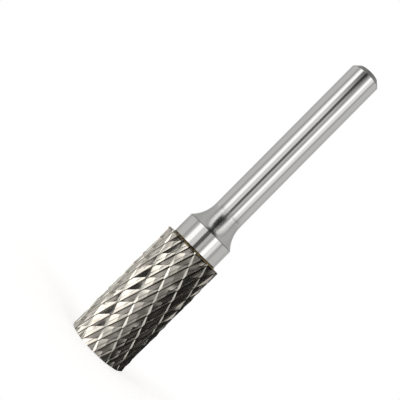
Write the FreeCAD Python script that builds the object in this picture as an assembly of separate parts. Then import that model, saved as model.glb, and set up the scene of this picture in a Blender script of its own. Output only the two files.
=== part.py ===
import FreeCAD, Part
import math
import os

from FreeCAD import Vector

# Cylindrical rotary burr, double cut, with a square end.
# Millimetres. The burr stands on the flat end of its head: the origin is the
# centre of that face and +Z runs up the axis to the free end of the shank.

# Head: a solid carbide cylinder whose round side is all teeth
head_diameter = 12.7
head_length = 25.2

# Coarse teeth: a left-hand set, each with a steep face, a wide floor and a rise
coarse_count = 12
coarse_helix_angle = 20.6
coarse_depth = 0.14
coarse_face_width = 0.16
coarse_floor_width = 1.44
coarse_first_angle = 29.45

# Fine teeth: a right-hand set, two to each coarse tooth, with a slot at the foot
fine_per_coarse = 2
fine_helix_angle = 19.65
fine_depth = 0.14
fine_face_width = 0.28
fine_slot_depth = 0.20
fine_slot_rise_width = 0.08

# Height of the lowest level at which crests of both sets cross
first_crossing_z = 0.023

# Brazed joint: a thin layer of filler between the head and the collar
braze_thickness = 0.25
braze_overhang = 0.12

# Shank: collar, concave neck and plain round shank, turned as one piece
collar_diameter = 10.1
collar_length = 4.26
collar_edge_chamfer = 0.12
shank_diameter = 6.35
overall_length = 71.6
neck_angle = 45.0
shank_end_chamfer = 0.95

# Faces lower than this lie across the axis
flat_tolerance = 0.001

head_radius = head_diameter / 2
collar_radius = collar_diameter / 2
shank_radius = shank_diameter / 2
collar_base_z = head_length + braze_thickness
neck_base_z = collar_base_z + collar_length


def turn_per_mm(helix_angle, hand):
    """Radians that a tooth turns about the axis in each millimetre of height."""
    return hand * math.tan(math.radians(helix_angle)) / head_radius


def tooth_section(count, first_angle, profile):
    """Corners of one set of teeth across the axis, as (angle, radius). The profile
    gives each corner of a tooth: how far round from its crest and how far below."""
    corners = []
    for tooth in range(count):
        crest_angle = first_angle + tooth * 2 * math.pi / count
        for along, below in profile:
            corners.append((crest_angle + along / head_radius, head_radius - below))
    return corners


def polar_point(angle, radius, z):
    return Vector(radius * math.cos(angle), radius * math.sin(angle), z)


def flat_face(points):
    return Part.Face(Part.makePolygon(points + points[:1]))


def closed_solid(faces):
    shell = Part.makeShell(faces)
    shell.sewShape()
    solid = Part.Solid(shell)
    if solid.Volume < 0:
        solid.reverse()
    return solid


def twisted_slice(corners, turn, height):
    """Slice of a bar with one set of teeth, its top turned against its bottom."""
    low = [polar_point(angle, radius, 0) for angle, radius in corners]
    high = [polar_point(angle + turn * height, radius, height) for angle, radius in corners]
    faces = [flat_face(low), flat_face(high)]
    for near in range(len(corners)):
        far = (near + 1) % len(corners)
        faces.append(flat_face([low[near], low[far], high[far]]))
        faces.append(flat_face([low[near], high[far], high[near]]))
    return closed_solid(faces)


def repeated_slices(one, slice_height, start_z, turn):
    """Bar of like slices, each turned against the one below, closed at both ends."""
    sides = [face for face in one.Faces if face.BoundBox.ZLength > flat_tolerance]
    ends = [face for face in one.Faces if face.BoundBox.ZLength <= flat_tolerance]
    ends.sort(key=lambda face: face.BoundBox.ZMin)
    bottom, top = ends
    count = math.ceil((head_length - start_z) / slice_height)
    placed = []
    for index in range(count):
        lift = Vector(0, 0, start_z + index * slice_height)
        angle = math.degrees(index * slice_height * turn)
        placement = FreeCAD.Placement(lift, FreeCAD.Rotation(Vector(0, 0, 1), angle))
        caps = [bottom] * (index == 0) + [top] * (index == count - 1)
        for face in sides + caps:
            copy = face.copy()
            copy.Placement = placement
            placed.append(copy)
    return closed_solid(placed)


def cutting_head():
    """Head: what both sets of teeth leave standing, as two rounds of grinding do.
    Their crests cross at evenly spaced heights, so one slice between two of these
    heights is worked out and repeated up the head, each time turned a little."""
    coarse_turn = turn_per_mm(coarse_helix_angle, -1)
    fine_turn = turn_per_mm(fine_helix_angle, 1)
    fine_count = coarse_count * fine_per_coarse
    slice_height = 2 * math.pi / fine_count / (fine_turn - coarse_turn)
    start_z = first_crossing_z - slice_height
    start_angle = math.radians(coarse_first_angle) + coarse_turn * start_z

    coarse = tooth_section(coarse_count, start_angle, (
        (0, 0),
        (coarse_face_width, coarse_depth),
        (coarse_face_width + coarse_floor_width, coarse_depth),
    ))
    fine = tooth_section(fine_count, start_angle, (
        (0, 0),
        (fine_face_width, fine_slot_depth),
        (fine_face_width + fine_slot_rise_width, fine_depth),
    ))
    one = twisted_slice(coarse, coarse_turn, slice_height).common(
        twisted_slice(fine, fine_turn, slice_height)
    )
    bar = repeated_slices(one, slice_height, start_z, coarse_turn)
    return bar.common(Part.makeCylinder(head_diameter, head_length))


def turned(outline):
    """Solid of revolution about Z from (radius, z) points and ready-made edges."""
    wire = Part.Wire(outline)
    return Part.Face(wire).revolve(Vector(0, 0, 0), Vector(0, 0, 1), 360)


def profile_point(radius, z):
    return Vector(radius, 0, z)


def braze_joint():
    """Filler layer: as wide as the collar at the top, a little wider on the head."""
    low = profile_point(collar_radius + braze_overhang, head_length)
    high = profile_point(collar_radius, collar_base_z)
    foot = profile_point(0, head_length)
    top = profile_point(0, collar_base_z)
    return turned([
        Part.makeLine(foot, low),
        Part.makeLine(low, high),
        Part.makeLine(high, top),
        Part.makeLine(top, foot),
    ])


def neck_arc():
    """Concave neck: one arc that leaves the collar rim at the neck angle and
    meets the shank tangentially."""
    sweep = math.radians(neck_angle)
    radius = (collar_radius - shank_radius) / (1 - math.cos(sweep))
    length = radius * math.sin(sweep)
    centre_z = neck_base_z + length
    middle = sweep / 2
    rim = profile_point(collar_radius, neck_base_z)
    through = profile_point(
        shank_radius + radius * (1 - math.cos(middle)),
        centre_z - radius * math.sin(middle),
    )
    end = profile_point(shank_radius, centre_z)
    return Part.Arc(rim, through, end).toShape(), rim, end


def shank():
    """Steel shank: brazing face, collar, neck, plain shank and chamfered end."""
    arc, rim, neck_end = neck_arc()
    foot = profile_point(0, collar_base_z)
    corner = profile_point(collar_radius - collar_edge_chamfer, collar_base_z)
    collar_start = profile_point(collar_radius, collar_base_z + collar_edge_chamfer)
    chamfer_start = profile_point(shank_radius, overall_length - shank_end_chamfer)
    chamfer_end = profile_point(shank_radius - shank_end_chamfer, overall_length)
    tip = profile_point(0, overall_length)
    return turned([
        Part.makeLine(foot, corner),
        Part.makeLine(corner, collar_start),
        Part.makeLine(collar_start, rim),
        arc,
        Part.makeLine(neck_end, chamfer_start),
        Part.makeLine(chamfer_start, chamfer_end),
        Part.makeLine(chamfer_end, tip),
        Part.makeLine(tip, foot),
    ])


def write_parts():
    os.makedirs("parts", exist_ok=True)
    pieces = {
        "cutting_head": cutting_head(),
        "braze_joint": braze_joint(),
        "shank": shank(),
    }
    for name, shape in pieces.items():
        shape.exportStep(os.path.join("parts", name + ".step"))
        print(name, "solids", len(shape.Solids), "faces", len(shape.Faces),
              "volume", round(shape.Volume, 1), "valid", shape.isValid())


write_parts()
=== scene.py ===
# %% [markdown]
# # A double-cut cylindrical burr
# A rotary burr has three parts that the eye tells apart at once: a dark carbide head
# whose whole round side is teeth, a thin golden line of brazing filler, and a bright
# steel shank. The solids come ready-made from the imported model. This script hones the
# edges of the head, gives the parts their finishes, and lights and frames the picture.

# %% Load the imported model
import math

import bpy
from mathutils import Matrix, Vector


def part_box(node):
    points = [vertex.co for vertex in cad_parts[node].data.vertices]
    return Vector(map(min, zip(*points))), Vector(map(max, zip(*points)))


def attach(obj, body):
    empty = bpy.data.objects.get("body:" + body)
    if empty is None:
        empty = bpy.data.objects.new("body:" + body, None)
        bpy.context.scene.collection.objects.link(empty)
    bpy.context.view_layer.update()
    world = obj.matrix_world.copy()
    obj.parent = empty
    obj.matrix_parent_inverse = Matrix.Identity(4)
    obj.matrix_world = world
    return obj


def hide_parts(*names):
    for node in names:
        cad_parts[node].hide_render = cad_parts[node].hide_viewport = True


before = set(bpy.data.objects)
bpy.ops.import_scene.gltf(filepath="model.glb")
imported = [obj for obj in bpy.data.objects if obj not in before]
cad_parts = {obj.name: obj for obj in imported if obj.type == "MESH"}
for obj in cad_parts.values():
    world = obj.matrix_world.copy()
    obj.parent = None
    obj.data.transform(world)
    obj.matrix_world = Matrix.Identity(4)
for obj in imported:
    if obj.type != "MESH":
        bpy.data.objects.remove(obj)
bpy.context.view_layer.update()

print("nodes:", sorted(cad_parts))

# %% [markdown]
# ## Sizes
# The finishes change from place to place: at the joint, at the rim of the collar, in the
# hollow neck and on the chamfer. The ends are measured on the loaded nodes, and the
# places between them are the sizes of the model in metres.

# %% Sizes that the finishes follow
shank_low, shank_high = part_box("shank")
HEAD_RADIUS = 0.00635
HEAD_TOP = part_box("cutting_head")[1].z
COLLAR_FOOT = shank_low.z
COLLAR_TOP = 0.02971
NECK_TOP = 0.03424
SHANK_TOP = shank_high.z
END_CHAMFER = 0.00095
CHAMFER_FOOT = SHANK_TOP - END_CHAMFER
print("head", round(HEAD_TOP * 1000, 2), "mm high, whole burr", round(SHANK_TOP * 1000, 2))

# %% [markdown]
# ## Camera
# The burr stands upright in the model, but the photograph shows it lying at a slant with
# its head to the lower left. Turning the camera about its own line of sight gives the
# same picture and leaves the burr where it stands. The lens is moderately long, so the
# shank hardly narrows towards its end.

# %% Camera
CAMERA_PLACE = Vector((0.14662, 0.0, 0.02844))
CAMERA_RIGHT = Vector((-0.00764, 0.70933, 0.7048))
CAMERA_UP = Vector((0.04763, -0.70376, 0.7088))
CAMERA_BACK = CAMERA_RIGHT.cross(CAMERA_UP).normalized()

camera_data = bpy.data.cameras.new("camera")
camera_data.lens = 70.86
camera_data.sensor_width = 36
camera_data.clip_start = 0.01
camera = bpy.data.objects.new("camera", camera_data)
bpy.context.scene.collection.objects.link(camera)
turn = Matrix((CAMERA_RIGHT, CAMERA_UP, CAMERA_BACK)).transposed()
camera.matrix_world = Matrix.Translation(CAMERA_PLACE) @ turn.to_4x4()
bpy.context.scene.camera = camera
print("camera", round(CAMERA_PLACE.length * 1000), "mm from the foot of the burr")

# %% [markdown]
# ## Helpers for node trees
# A finish here is a formula of the place on the burr. Nodes could be wired by hand in the
# editor, but a formula reads better as text, so `maths(tree, "ADD", a, b)` makes one node
# and returns its output, and `plug` takes either an output or a plain number.

# %% Making and joining nodes
def new_tree(owner):
    owner.use_nodes = True
    owner.node_tree.nodes.clear()
    return owner.node_tree


def node(tree, kind, **values):
    made = tree.nodes.new(kind)
    for name, value in values.items():
        setattr(made, name, value)
    return made


def plug(tree, value, socket):
    """Joins an output to a socket, or writes a plain number or colour on it."""
    if isinstance(value, bpy.types.NodeSocket):
        tree.links.new(value, socket)
    else:
        socket.default_value = value


def plug_all(tree, values, made):
    for name, value in values.items():
        plug(tree, value, made.inputs[name])


def maths(tree, operation, *values):
    made = node(tree, "ShaderNodeMath", operation=operation)
    for value, socket in zip(values, made.inputs):
        plug(tree, value, socket)
    return made.outputs[0]


def vector_maths(tree, operation, *values):
    made = node(tree, "ShaderNodeVectorMath", operation=operation)
    for value, socket in zip(values, made.inputs):
        plug(tree, value, socket)
    return made


print("node makers ready")

# %% [markdown]
# Two mappings do most of the work. `ramp` steps softly from one value to another, and
# `band` is 1 along a stretch and falls off softly on both sides. `mix` chooses between
# two numbers, directions or colours by a share from 0 to 1.

# %% Steps, bands and mixes
MIX_SOCKETS = {"FLOAT": (2, 3, 0), "VECTOR": (4, 5, 1), "RGBA": (6, 7, 2)}


def mapped(tree, value, low, high, from_low, from_high, kind="LINEAR"):
    """Value between two ends, written out as low to high."""
    made = node(tree, "ShaderNodeMapRange", interpolation_type=kind)
    ends = {"Value": value, "From Min": from_low, "From Max": from_high, "To Min": low, "To Max": high}
    plug_all(tree, ends, made)
    return made.outputs["Result"]


def ramp(tree, value, low, high, from_low, from_high):
    return mapped(tree, value, low, high, from_low, from_high, "SMOOTHSTEP")


def band(tree, value, low, high, soft):
    """1 between low and high, falling to 0 over the soft width outside them."""
    rise = ramp(tree, value, 0.0, 1.0, low - soft, low)
    fall = ramp(tree, value, 1.0, 0.0, high, high + soft)
    return maths(tree, "MULTIPLY", rise, fall)


def mix(tree, kind, share, first, second):
    made = node(tree, "ShaderNodeMix", data_type=kind)
    first_socket, second_socket, result = MIX_SOCKETS[kind]
    plug(tree, share, made.inputs[0])
    plug(tree, first, made.inputs[first_socket])
    plug(tree, second, made.inputs[second_socket])
    return made.outputs[result]


print("mixes of", ", ".join(MIX_SOCKETS))

# %% [markdown]
# The last helpers deal with places and directions: taking a place apart, putting one
# together, noise at a place, and a direction leaned towards another.

# %% Places, directions and noise
def split_place(tree, socket):
    made = node(tree, "ShaderNodeSeparateXYZ")
    tree.links.new(socket, made.inputs[0])
    return made.outputs


def joined(tree, x, y, z):
    made = node(tree, "ShaderNodeCombineXYZ")
    for value, socket in zip((x, y, z), made.inputs):
        plug(tree, value, socket)
    return made.outputs[0]


def noise(tree, place, scale, detail, roughness=0.6):
    made = node(tree, "ShaderNodeTexNoise")
    plug_all(tree, {"Vector": place, "Scale": scale, "Detail": detail, "Roughness": roughness}, made)
    return made.outputs["Fac"]


def unit(tree, direction):
    return vector_maths(tree, "NORMALIZE", direction).outputs[0]


def leaned(tree, start, towards, slope):
    """A direction turned towards another one by the given slope."""
    sideways = vector_maths(tree, "SCALE", towards)
    plug(tree, slope, sideways.inputs["Scale"])
    return unit(tree, vector_maths(tree, "ADD", start, sideways.outputs[0]).outputs[0])


print("place helpers ready")

# %% [markdown]
# ## Studio light
# Bright metal shows hardly any colour of its own: it shows the room. The shank is a
# mirror that sees the room turned about its axis, so long soft boxes beside the burr
# become the long stripes on it, and the gap where the camera stands becomes the dark
# stripe in the middle. Area lamps could stand for the soft boxes, but a room drawn in the
# world is quicker to shift. It is drawn as soft-edged panels, each laid over those before
# it and given by the stretch that it takes up round the burr, in degrees from the
# camera, and by its height in degrees above the level.

# %% A direction in the room, and how a panel is laid
world = bpy.data.worlds.new("studio")
bpy.context.scene.world = world
tree = new_tree(world)
wx, wy, wz = split_place(tree, node(tree, "ShaderNodeTexCoord").outputs["Generated"])
azimuth = maths(tree, "DEGREES", maths(tree, "ARCTAN2", wy, wx))
elevation = maths(tree, "DEGREES", maths(tree, "ARCSINE", wz))


def panel(light, around, height, strength, soft, soft_height):
    """Lays one panel over the light that is there already."""
    within_sides = band(tree, azimuth, *around, soft)
    within_height = band(tree, elevation, *height, soft_height)
    share = maths(tree, "MULTIPLY", within_sides, within_height)
    return mix(tree, "FLOAT", share, light, strength)


def row_of_panels(light, height, soft_height, panels):
    for start, end, strength, soft in panels:
        light = panel(light, (start, end), height, strength, soft, soft_height)
    return light


print("world nodes so far:", len(tree.nodes))

# %% [markdown]
# The tent of soft boxes round the burr is what the shank and the collar show. Each row
# says from where to where a stripe reaches, how bright it is and how soft its sides are.

# %% The tent
FULL_HEIGHT = (-90, 90)
TENT_STRIPES = (
    (-80, -73, 0.42, 6),
    (-56, -42, 1.3, 9),
    (-32, -17, 0.78, 5),
    (-13, 4, 0.11, 4),
    (11, 13, 0.55, 3),
    (19, 21, 0.32, 3),
    (32, 44, 1.35, 6),
    (52, 60, 0.95, 8),
    (73, 78, 0.44, 8),
)
CLOTH_AHEAD, CLOTH_BEHIND, CLOTH_LIFT = 0.60, 0.50, 0.14

# the cloth of the tent, darker towards the back and lifted again right behind the burr
away = maths(tree, "ABSOLUTE", azimuth)
cloth = ramp(tree, away, CLOTH_AHEAD, CLOTH_BEHIND, from_low=110, from_high=140)
lift_behind = ramp(tree, away, 0.0, CLOTH_LIFT, from_low=150, from_high=178)
light = maths(tree, "ADD", cloth, lift_behind)
light = row_of_panels(light, FULL_HEIGHT, soft_height=4, panels=TENT_STRIPES)

# the opening above the camera, which the hollow neck shows as a dark patch, and the
# dark ceiling straight above the burr
light = panel(light, (-34, 10), (18, 80), strength=0.02, soft=8, soft_height=6)
light = panel(light, (-180, 180), (76, 90), strength=0.0, soft=1, soft_height=4)
print("stripes in the tent:", len(TENT_STRIPES))

# %% [markdown]
# The flats of the head lean down, so they show what lies low in the room. The long
# slopes of the fine teeth see the edge of the table, and the broad floors of the coarse
# teeth see the table itself. Where the two differ, the cut reads as bright and dark
# facets. The right side of the room is nearly black, as that side of the head is.

# %% The edge of the table
EDGE_HEIGHT = (-90, 0.4)
EDGE_PANELS = (
    (-175, -135, 0.33, 5),
    (-122, -102, 1.0, 8),
    (-80, -52, 0.03, 6),
    (-44, -34, 0.45, 5),
    (-22, -12, 0.52, 8),
    (-2, 4, 0.34, 6),
    (14, 22, 0.22, 6),
    (38, 106, 0.02, 10),
)
light = row_of_panels(light, EDGE_HEIGHT, soft_height=2, panels=EDGE_PANELS)
light = panel(light, (100, 175), (-90, -3), strength=0.02, soft=10, soft_height=2)

# thin strips at the right for the crests, and one at the left for its upper half
light = panel(light, (112, 138), (-5, -1.5), strength=0.9, soft=6, soft_height=1.2)
light = panel(light, (30, 104), (-7.5, -6.5), strength=0.15, soft=10, soft_height=1)
light = panel(light, (-160, -116), (-9.5, -1), strength=0.8, soft=8, soft_height=1.5)
print("panels at the edge:", len(EDGE_PANELS))

# %% The table
TABLE_HEIGHT = (-90, -11)
TABLE_PANELS = (
    (-175, -162, 0.45, 8),
    (-150, -140, 0.65, 6),
    (-130, -82, 2.4, 8),
    (-74, -56, 2.0, 8),
    (-46, -36, 0.95, 8),
    (-24, -16, 0.5, 8),
    (-6, 0, 0.28, 6),
    (14, 175, 0.02, 10),
)
light = row_of_panels(light, TABLE_HEIGHT, soft_height=1.5, panels=TABLE_PANELS)

# the table right below the burr, for the foot of the head and the steep faces
light = panel(light, (-175, -104), (-90, -20), strength=0.6, soft=8, soft_height=3)
light = panel(light, (-45, 76), (-90, -28), strength=1.2, soft=12, soft_height=4)
print("panels on the table:", len(TABLE_PANELS))

# %% [markdown]
# The camera itself sees plain white instead of the room, because the photograph has a
# plain white background. The metal goes on showing the room.

# %% Light for the burr, white for the camera
ROOM_TINT = (1.0, 0.99, 0.975, 1.0)
WHITE = (1.0, 1.0, 1.0, 1.0)
studio = node(tree, "ShaderNodeBackground")
plug_all(tree, {"Color": ROOM_TINT, "Strength": light}, studio)
plain_white = node(tree, "ShaderNodeBackground")
plug_all(tree, {"Color": WHITE, "Strength": 1.0}, plain_white)
seen = node(tree, "ShaderNodeMixShader")
plug(tree, node(tree, "ShaderNodeLightPath").outputs["Is Camera Ray"], seen.inputs[0])
plug(tree, studio.outputs[0], seen.inputs[1])
plug(tree, plain_white.outputs[0], seen.inputs[2])
plug(tree, seen.outputs[0], node(tree, "ShaderNodeOutputWorld").inputs["Surface"])
print("world panels:", sum(one.type == "MIX" for one in tree.nodes))

# %% [markdown]
# ## Floor
# The burr stands on a small pale round floor that fades into the white background, so
# that it keeps a soft shadow at the foot and shows no edge. It glows a little for the
# camera alone, which lifts the paper to white. From below the floor is clear, so the flat
# end of the head can be looked at.

# %% Floor
FLOOR_RADIUS = 0.09
FLOOR_DROP = 0.00001
FADE_FROM = 0.25 * FLOOR_RADIUS
FADE_TO = 0.95 * FLOOR_RADIUS
bpy.ops.object.select_all(action="DESELECT")
bpy.ops.mesh.primitive_circle_add(
    vertices=96, radius=FLOOR_RADIUS, fill_type="NGON", location=(0, 0, -FLOOR_DROP)
)
floor = bpy.context.object
floor.name = "floor"
floor.visible_glossy = False
floor.visible_shadow = False
print("floor", FLOOR_RADIUS * 2, "m across")

# %% Floor paper
PAPER_GREY = (0.9, 0.9, 0.9, 1.0)
PAPER_GLOW = 0.55

paper_material = bpy.data.materials.new("pale_floor")
tree = new_tree(paper_material)
place = node(tree, "ShaderNodeTexCoord").outputs["Object"]
from_middle = vector_maths(tree, "LENGTH", place).outputs["Value"]
fade = ramp(tree, from_middle, 0.0, 1.0, FADE_FROM, FADE_TO)
underneath = node(tree, "ShaderNodeNewGeometry").outputs["Backfacing"]

paper = node(tree, "ShaderNodeBsdfDiffuse")
plug(tree, PAPER_GREY, paper.inputs["Color"])
seen_by_camera = node(tree, "ShaderNodeLightPath").outputs["Is Camera Ray"]
glow = node(tree, "ShaderNodeEmission")
glow_strength = maths(tree, "MULTIPLY", seen_by_camera, PAPER_GLOW)
plug_all(tree, {"Color": WHITE, "Strength": glow_strength}, glow)
both = node(tree, "ShaderNodeAddShader")
plug(tree, paper.outputs[0], both.inputs[0])
plug(tree, glow.outputs[0], both.inputs[1])

faded = node(tree, "ShaderNodeMixShader")
plug(tree, maths(tree, "MAXIMUM", fade, underneath), faded.inputs[0])
plug(tree, both.outputs[0], faded.inputs[1])
plug(tree, node(tree, "ShaderNodeBsdfTransparent").outputs[0], faded.inputs[2])
plug(tree, faded.outputs[0], node(tree, "ShaderNodeOutputMaterial").inputs["Surface"])
floor.data.materials.append(paper_material)
print("floor nodes:", len(tree.nodes))

# %% [markdown]
# ## How every metal here ends
# All three finishes end in the same way: a height that becomes relief, and a metal that
# takes a colour, a roughness and the relief.

# %% Relief and metal
def relief(tree, height, strength, distance, normal=None):
    made = node(tree, "ShaderNodeBump")
    plug_all(tree, {"Height": height, "Strength": strength, "Distance": distance}, made)
    if normal is not None:
        plug(tree, normal, made.inputs["Normal"])
    return made.outputs[0]


def metal(tree, colour, roughness, normal, **more):
    shader = node(tree, "ShaderNodeBsdfPrincipled")
    looks = {"Base Color": colour, "Metallic": 1.0, "Roughness": roughness, "Normal": normal}
    plug_all(tree, {**looks, **more}, shader)
    plug(tree, shader.outputs[0], node(tree, "ShaderNodeOutputMaterial").inputs["Surface"])


def dress(piece, material):
    piece.data.materials.clear()
    piece.data.materials.append(material)


print("metal helpers ready")

# %% [markdown]
# ## Carbide: where on a tooth?
# Sintered carbide is a warm grey metal, and nearly all that the eye sees on the head is
# how its flats are turned. The finish works this out from the counts, helix angles and
# first crests of the solid. A picture of the pattern could be wrapped round instead, but
# a formula stays sharp at any distance. First it finds how far a place lies past the
# crest of each set. Each flat is given by where it starts and ends past the crest, by its
# depths there, all in metres, and by its tilt in degrees. The two long coarse flats are
# tilted more than in the solid, so that neighbouring flats show clearly different parts
# of the room.

# %% Tooth sizes
COARSE_COUNT, COARSE_HELIX, COARSE_FIRST = 12, -20.6, math.radians(29.45)
COARSE_PITCH = 2 * math.pi * HEAD_RADIUS / COARSE_COUNT
COARSE_FLATS = (
    (0.0, 0.00016, 0.0, 0.00014, 42),
    (0.00016, 0.00174, 0.00014, 0.00007, -18),
    (0.00174, 0.003325, 0.00007, 0.0, -19),
)
FINE_COUNT, FINE_HELIX, FINE_FIRST = 24, 19.65, math.radians(14.3)
FINE_PITCH = 2 * math.pi * HEAD_RADIUS / FINE_COUNT
FINE_FLATS = (
    (0.0, 0.00028, 0.0, 0.00020, 35),
    (0.00028, 0.00036, 0.00020, 0.000117, -38),
    (0.00036, 0.001662, 0.000117, 0.0, -5.5),
)
print("pitch:", round(COARSE_PITCH * 1000, 3), "and", round(FINE_PITCH * 1000, 3), "mm")

# %% Place past the crests
SPARE_PITCHES = 8.0
carbide = bpy.data.materials.new("ground_carbide")
tree = new_tree(carbide)
place = node(tree, "ShaderNodeTexCoord").outputs["Object"]
px, py, pz = split_place(tree, place)
around = maths(tree, "ARCTAN2", py, px)


def untwisted(helix):
    """The way round, turned back by the helix, so that it stays put along a tooth."""
    turn_per_metre = math.tan(math.radians(helix)) / HEAD_RADIUS
    return maths(tree, "MULTIPLY_ADD", pz, -turn_per_metre, around)


def tooth_phase(helix, first, count):
    """How far a place lies from the crest before it, as a share of the pitch. The spare
    pitches keep the number above zero and drop out with the whole ones."""
    along = maths(tree, "SUBTRACT", untwisted(helix), first)
    pitches = maths(tree, "MULTIPLY_ADD", along, count / (2 * math.pi), SPARE_PITCHES)
    return maths(tree, "FRACT", pitches)


def tooth_depth(phase, pitch, flats):
    """Depth of one set of teeth below its crest, over its flats."""
    total = 0.0
    for start, end, from_depth, to_depth, _ in flats:
        part = mapped(tree, phase, 0.0, 1.0, start / pitch, end / pitch)
        total = maths(tree, "MULTIPLY_ADD", part, to_depth - from_depth, total)
    return total


coarse_phase = tooth_phase(COARSE_HELIX, COARSE_FIRST, COARSE_COUNT)
fine_phase = tooth_phase(FINE_HELIX, FINE_FIRST, FINE_COUNT)
coarse_below = tooth_depth(coarse_phase, COARSE_PITCH, COARSE_FLATS)
fine_below = tooth_depth(fine_phase, FINE_PITCH, FINE_FLATS)
is_coarse = maths(tree, "GREATER_THAN", coarse_below, fine_below)
print("carbide nodes so far:", len(tree.nodes))

# %% [markdown]
# ## Carbide: colour and marks
# The grinding wheel ran along the teeth and left fine marks along the helix, so the noise
# for them is drawn out along the burr and turned with the helix. On top come a few pits,
# a faint yellowish tarnish, and the brown stain that the filler left at the rim.

# %% Marks and colour
MARK_STRETCH = 0.04
WARM_GREY = (0.56, 0.53, 0.48, 1.0)
DARK_GREY = (0.46, 0.435, 0.39, 1.0)
TARNISH = (0.36, 0.29, 0.19, 1.0)
BROWN = (0.05, 0.04, 0.025, 1.0)
RIM_STAIN = (0.09, 0.07, 0.035, 1.0)
STAIN_WAVE = 0.0006
STAIN_FROM, STAIN_TO = HEAD_TOP - 0.00005, HEAD_TOP + 0.0001
TARNISH_SHARE, PIT_SHARE, STAIN_SHARE = 0.25, 0.4, 0.9

along_tooth = untwisted(FINE_HELIX)
marks_place = joined(
    tree,
    maths(tree, "MULTIPLY", maths(tree, "COSINE", along_tooth), HEAD_RADIUS),
    maths(tree, "MULTIPLY", maths(tree, "SINE", along_tooth), HEAD_RADIUS),
    maths(tree, "MULTIPLY", pz, MARK_STRETCH),
)
fine_marks = noise(tree, marks_place, scale=22000, detail=3)
broad_marks = noise(tree, marks_place, scale=5000, detail=2, roughness=0.5)
clouds = noise(tree, place, scale=700, detail=4)
specks = noise(tree, place, scale=9000, detail=2, roughness=0.5)
tarnish = ramp(tree, clouds, 0.0, TARNISH_SHARE, from_low=0.55, from_high=0.75)
pitted = ramp(tree, specks, 1.0, 0.0, from_low=0.24, from_high=0.33)
creep = maths(tree, "MULTIPLY_ADD", noise(tree, place, scale=1500, detail=3), STAIN_WAVE, pz)
crept = ramp(tree, creep, 0.0, STAIN_SHARE, STAIN_FROM, STAIN_TO)

greys = ramp(tree, broad_marks, 0.0, 1.0, from_low=0.3, from_high=0.62)
colour = mix(tree, "RGBA", greys, DARK_GREY, WARM_GREY)
colour = mix(tree, "RGBA", maths(tree, "MULTIPLY", pitted, PIT_SHARE), colour, BROWN)
colour = mix(tree, "RGBA", tarnish, colour, TARNISH)
colour = mix(tree, "RGBA", crept, colour, RIM_STAIN)
print("carbide nodes so far:", len(tree.nodes))

# %% [markdown]
# ## Carbide: how each flat is turned
# A place on the round side faces outwards. A flat leans from that, across its own teeth,
# by its tilt. It is straight across while the round bends away, so its slope against the
# round changes steadily from one side of it to the other. Of the two sets, the one that
# was cut deeper at a place decides.

# %% Direction of each flat
STREAK_LEAN = math.tan(math.radians(7))
STREAK_BAND = (0.74, 0.80, 0.03)
STREAK_SHADE_ON_FINE, STREAK_SHADE_ON_COARSE = 0.75, 0.35


def tooth_lean(phase, pitch, flats):
    """Slope of one set of teeth against the round, over its flats."""
    total = 0.0
    for start, end, _, _, tilt in flats:
        past_start = maths(tree, "GREATER_THAN", phase, start / pitch)
        before_end = maths(tree, "LESS_THAN", phase, end / pitch)
        inside = maths(tree, "MULTIPLY", past_start, before_end)
        middle = math.tan(math.radians(tilt)) + (start + end) / 2 / HEAD_RADIUS
        slope = maths(tree, "MULTIPLY_ADD", phase, -pitch / HEAD_RADIUS, middle)
        total = maths(tree, "MULTIPLY_ADD", inside, slope, total)
    return total


def across(helix):
    """Direction in the round side at right angles to the teeth of one set."""
    level, rise = math.cos(math.radians(helix)), -math.sin(math.radians(helix))
    x = maths(tree, "MULTIPLY", out_y, -level)
    y = maths(tree, "MULTIPLY", out_x, level)
    return joined(tree, x, y, rise)


outwards = unit(tree, joined(tree, px, py, 0.0))
out_x, out_y, _ = split_place(tree, outwards)
across_coarse = across(COARSE_HELIX)
across_marks = mix(tree, "VECTOR", is_coarse, across(FINE_HELIX), across_coarse)
coarse_lean = tooth_lean(coarse_phase, COARSE_PITCH, COARSE_FLATS)
fine_lean = tooth_lean(fine_phase, FINE_PITCH, FINE_FLATS)
lean = mix(tree, "FLOAT", is_coarse, fine_lean, coarse_lean)

# a second pass of the wheel left a crease along each fine tooth; the normal leans there,
# and painted shade darkens it, fainter where the coarse flats cross it
streak = band(tree, fine_phase, *STREAK_BAND)
streak_shade = mix(tree, "FLOAT", is_coarse, STREAK_SHADE_ON_FINE, STREAK_SHADE_ON_COARSE)
lean = maths(tree, "MULTIPLY_ADD", streak, STREAK_LEAN, lean)
normal = leaned(tree, outwards, across_marks, lean)
# painted shade along the crease of each fine tooth
colour = mix(tree, "RGBA", maths(tree, "MULTIPLY", streak, streak_shade), colour, BROWN)
print("carbide nodes so far:", len(tree.nodes))

# %% [markdown]
# ## Carbide: crests, slots and flat ends
# Along each coarse crest runs a honed ribbon, leaned like a rounded edge and coloured near
# white as a painted highlight. It is widest where the fine teeth are high and narrowest at
# their slots, so it reads as a row of dashes. The slots are darkened with painted shade.
# The two flat ends keep their own direction and are ground plainly, all one way.

# %% Crests, slots and ends
RIBBON_BEFORE = 0.00010
RIBBON_AFTER = 0.00042
RIBBON_TAPER = 1.8
RIBBON_LEAN = math.tan(math.radians(26))
CREST_HIGHLIGHT = (1.0, 0.97, 0.88, 1.0)
SLOT_BAND = (0.12, 0.22, 0.04)
SLOT_SHADE = 0.9
END_FACING = 0.9
SWEEP_STRETCH = 0.06
END_PIT_SHARE = 0.5

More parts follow.
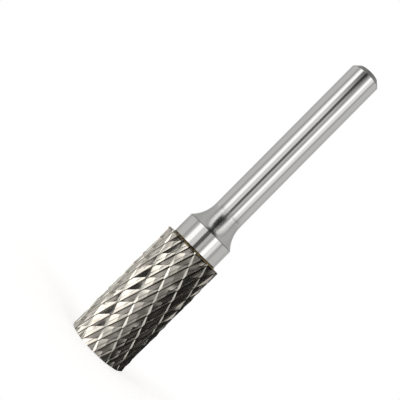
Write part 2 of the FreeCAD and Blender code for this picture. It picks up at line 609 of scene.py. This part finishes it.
past_crest = maths(tree, "MULTIPLY", coarse_phase, COARSE_PITCH)
to_crest = maths(tree, "SUBTRACT", COARSE_PITCH, past_crest)
width_after = maths(tree, "MULTIPLY_ADD", fine_below, -RIBBON_TAPER, RIBBON_AFTER)
width_before = maths(tree, "MULTIPLY_ADD", fine_below, -RIBBON_TAPER / 2, RIBBON_BEFORE)
just_past = maths(tree, "LESS_THAN", past_crest, width_after)
just_before = maths(tree, "LESS_THAN", to_crest, width_before)
ribbon = maths(tree, "MAXIMUM", just_past, just_before)
normal = mix(tree, "VECTOR", ribbon, normal, leaned(tree, outwards, across_coarse, RIBBON_LEAN))
# painted highlight: the ribbon is coloured near white
colour = mix(tree, "RGBA", ribbon, colour, CREST_HIGHLIGHT)

is_fine = maths(tree, "SUBTRACT", 1.0, is_coarse)
in_slot = maths(tree, "MULTIPLY", band(tree, fine_phase, *SLOT_BAND), is_fine)
# painted shade darkens the root of each fine slot
colour = mix(tree, "RGBA", maths(tree, "MULTIPLY", in_slot, SLOT_SHADE), colour, BROWN)

face_normal = node(tree, "ShaderNodeNewGeometry").outputs["Normal"]
_, _, face_up = split_place(tree, face_normal)
is_end = maths(tree, "GREATER_THAN", maths(tree, "ABSOLUTE", face_up), END_FACING)
sweep_x = maths(tree, "MULTIPLY", px, SWEEP_STRETCH)
sweeps = noise(tree, joined(tree, sweep_x, py, pz), scale=7000, detail=3)
end_greys = ramp(tree, sweeps, 0.0, 1.0, from_low=0.35, from_high=0.65)
end_colour = mix(tree, "RGBA", end_greys, DARK_GREY, WARM_GREY)
end_colour = mix(tree, "RGBA", maths(tree, "MULTIPLY", pitted, END_PIT_SHARE), end_colour, BROWN)
colour = mix(tree, "RGBA", is_end, colour, end_colour)
normal = mix(tree, "VECTOR", is_end, normal, face_normal)
tangent = mix(tree, "VECTOR", is_end, across_marks, (1.0, 0.0, 0.0))
print("carbide nodes so far:", len(tree.nodes))

# %% [markdown]
# ## Carbide: the metal
# Fine marks spread a reflection across them and keep it narrow along them. An anisotropic
# metal does this without the marks being modelled: its tangent points across the marks.
# The metal is rougher near the end of each fine slope, where the crest is scuffed, and on
# the two flat ends.

# %% Carbide metal
MARK_DEPTH = 0.00002
BROAD_SHARE = 1.5
CARBIDE_ROUGHNESS = (0.11, 0.16)
SCUFF_BAND = (0.87, 0.97, 0.03)
SCUFF_ROUGHNESS = 0.10
END_ROUGHNESS = 0.22

scuffed = band(tree, fine_phase, *SCUFF_BAND)
roughness = mapped(tree, fine_marks, *CARBIDE_ROUGHNESS, from_low=0.3, from_high=0.7)
roughness = maths(tree, "MULTIPLY_ADD", scuffed, SCUFF_ROUGHNESS, roughness)
roughness = maths(tree, "MULTIPLY_ADD", is_end, END_ROUGHNESS, roughness)
marks = maths(tree, "ADD", fine_marks, maths(tree, "MULTIPLY", broad_marks, BROAD_SHARE))
bumps = relief(tree, marks, strength=0.01, distance=MARK_DEPTH, normal=normal)
metal(tree, colour, roughness, bumps, Anisotropic=0.5, Tangent=tangent)
print("carbide nodes:", len(tree.nodes))

# %% [markdown]
# ## Head with honed edges
# The solid has knife-sharp edges, and a perfectly sharp edge never glints. On the real
# head every cutting edge is honed a little round. The edges could be rounded one by one,
# but there are thousands, so a copy of the head is merged into one skin, its flat faces
# are joined up, and a Bevel modifier rounds every edge that is sharp enough.

# %% Head
EDGE_ROUND = 0.00006
MERGE_WITHIN = 0.000002
FLAT_WITHIN = math.radians(0.6)
SHARP_FROM = math.radians(24)

head = bpy.data.objects.new("honed_head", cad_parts["cutting_head"].data.copy())
bpy.context.scene.collection.objects.link(head)
bpy.ops.object.select_all(action="DESELECT")
head.select_set(True)
bpy.context.view_layer.objects.active = head
bpy.ops.object.mode_set(mode="EDIT")
bpy.ops.mesh.select_all(action="SELECT")
bpy.ops.mesh.remove_doubles(threshold=MERGE_WITHIN)
bpy.ops.mesh.dissolve_limited(angle_limit=FLAT_WITHIN)
bpy.ops.mesh.select_all(action="DESELECT")
bpy.ops.object.mode_set(mode="OBJECT")
honing = head.modifiers.new("honing", "BEVEL")
honing.width = EDGE_ROUND
honing.segments = 3
honing.limit_method = "ANGLE"
honing.angle_limit = SHARP_FROM
honing.use_clamp_overlap = True
bpy.ops.object.modifier_apply(modifier="honing")
bpy.ops.object.shade_flat()
dress(head, carbide)
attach(head, "root")
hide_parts("cutting_head")
print("head faces:", len(head.data.polygons))

# %% [markdown]
# ## Shank steel: colour
# The shank and the collar are ground to a near mirror. The hollow neck is only turned and
# looks satin, and the chamfer at the free end is duller and darker. Where the filler has
# crept up, the foot of the collar is brown. A thin dark line of painted shade marks the
# sharp rim of the collar.

# %% Steel zones and colour
BRIGHT_STEEL = (0.76, 0.76, 0.75, 1.0)
TURNED_STEEL = (0.62, 0.62, 0.61, 1.0)
CHAMFER_STEEL = (0.30, 0.30, 0.30, 1.0)
FOOT_STAIN = (0.16, 0.13, 0.07, 1.0)
RIM_SHADE_LINE = (0.10, 0.10, 0.10, 1.0)
RIM_UNDER, RIM_EDGE, RIM_FADE = 0.00001, 0.00003, 0.00010
NECK_BLEND = 0.001
CHAMFER_BLEND = 0.0001
FOOT_STAIN_FROM, FOOT_STAIN_TO = COLLAR_FOOT - 0.00035, COLLAR_FOOT - 0.0002
FOOT_STAIN_SHARE, RIM_SHADE_SHARE = 0.85, 0.75

steel = bpy.data.materials.new("ground_steel")
tree = new_tree(steel)
place = node(tree, "ShaderNodeTexCoord").outputs["Object"]
px, py, pz = split_place(tree, place)
above_rim = ramp(tree, pz, 0.0, 1.0, COLLAR_TOP - RIM_UNDER, COLLAR_TOP + RIM_EDGE)
below_shank = ramp(tree, pz, 1.0, 0.0, NECK_TOP - NECK_BLEND, NECK_TOP + NECK_BLEND)
in_neck = maths(tree, "MULTIPLY", above_rim, below_shank)
in_chamfer = ramp(tree, pz, 0.0, 1.0, CHAMFER_FOOT - CHAMFER_BLEND, CHAMFER_FOOT)
dull = maths(tree, "MAXIMUM", in_neck, in_chamfer)
creep = maths(tree, "MULTIPLY_ADD", noise(tree, place, scale=1500, detail=3), -STAIN_WAVE, pz)
crept = ramp(tree, creep, FOOT_STAIN_SHARE, 0.0, FOOT_STAIN_FROM, FOOT_STAIN_TO)
# painted shade: a thin dark line along the sharp rim of the collar
from_rim = maths(tree, "ABSOLUTE", maths(tree, "SUBTRACT", pz, COLLAR_TOP))
rim = ramp(tree, from_rim, RIM_SHADE_SHARE, 0.0, RIM_EDGE, RIM_FADE)

colour = mix(tree, "RGBA", in_neck, BRIGHT_STEEL, TURNED_STEEL)
colour = mix(tree, "RGBA", in_chamfer, colour, CHAMFER_STEEL)
colour = mix(tree, "RGBA", crept, colour, FOOT_STAIN)
colour = mix(tree, "RGBA", rim, colour, RIM_SHADE_LINE)
print("steel nodes so far:", len(tree.nodes))

# %% [markdown]
# ## Shank steel: marks
# Grinding leaves faint streaks along the shank, and turning leaves fine rings round the
# neck, so the noise is stretched one way for the one and the other way for the other. The
# ground band of the collar reflects as if it leaned up a little, which keeps the table
# out of it.

# %% Steel metal
STREAK_STRETCH = 0.012
RING_STRETCH = 0.03
RING_SHARE = 3.0
COLLAR_LEAN = 0.07
STEEL_ROUGHNESS = (0.05, 0.12)
DULL_ROUGHNESS = 0.13

streak_z = maths(tree, "MULTIPLY", pz, STREAK_STRETCH)
streaks = noise(tree, joined(tree, px, py, streak_z), scale=9000, detail=3)
ring_x = maths(tree, "MULTIPLY", px, RING_STRETCH)
ring_y = maths(tree, "MULTIPLY", py, RING_STRETCH)
rings = noise(tree, joined(tree, ring_x, ring_y, pz), scale=14000, detail=3)
streak_height = maths(tree, "MULTIPLY", streaks, maths(tree, "SUBTRACT", 1.0, dull))
ring_height = maths(tree, "MULTIPLY", rings, maths(tree, "MULTIPLY", dull, RING_SHARE))
marks = maths(tree, "ADD", streak_height, ring_height)
roughness = mapped(tree, streaks, *STEEL_ROUGHNESS, from_low=0.3, from_high=0.7)
roughness = maths(tree, "ADD", roughness, maths(tree, "MULTIPLY", dull, DULL_ROUGHNESS))

on_collar = ramp(tree, pz, 1.0, 0.0, COLLAR_TOP - RIM_EDGE, COLLAR_TOP)
face_normal = node(tree, "ShaderNodeNewGeometry").outputs["Normal"]
lift = joined(tree, 0.0, 0.0, maths(tree, "MULTIPLY", on_collar, COLLAR_LEAN))
raised = vector_maths(tree, "ADD", face_normal, lift).outputs[0]
metal(tree, colour, roughness, relief(tree, marks, strength=0.12, distance=MARK_DEPTH, normal=raised))
dress(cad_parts["shank"], steel)
print("steel nodes:", len(tree.nodes))

# %% [markdown]
# ## Filler
# The brazing filler is an old-gold line, dull, and browned in runs by the flame.

# %% Filler metal
FILLER_BROWN = (0.035, 0.025, 0.010, 1.0)
FILLER_GOLD = (0.22, 0.16, 0.07, 1.0)
FILLER_RELIEF = 0.00005
FILLER_ROUGHNESS = 0.42

filler = bpy.data.materials.new("run_filler")
tree = new_tree(filler)
runs = noise(tree, node(tree, "ShaderNodeTexCoord").outputs["Object"], scale=1600, detail=4)
flame_marks = ramp(tree, runs, 0.0, 1.0, from_low=0.35, from_high=0.65)
colour = mix(tree, "RGBA", flame_marks, FILLER_BROWN, FILLER_GOLD)
metal(tree, colour, FILLER_ROUGHNESS, relief(tree, runs, strength=0.5, distance=FILLER_RELIEF))
dress(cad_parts["braze_joint"], filler)
print("filler nodes:", len(tree.nodes))

# %% [markdown]
# ## Picture settings
# The Standard view shows a colour as it is written.

# %% Picture settings
bpy.context.scene.view_settings.view_transform = "Standard"
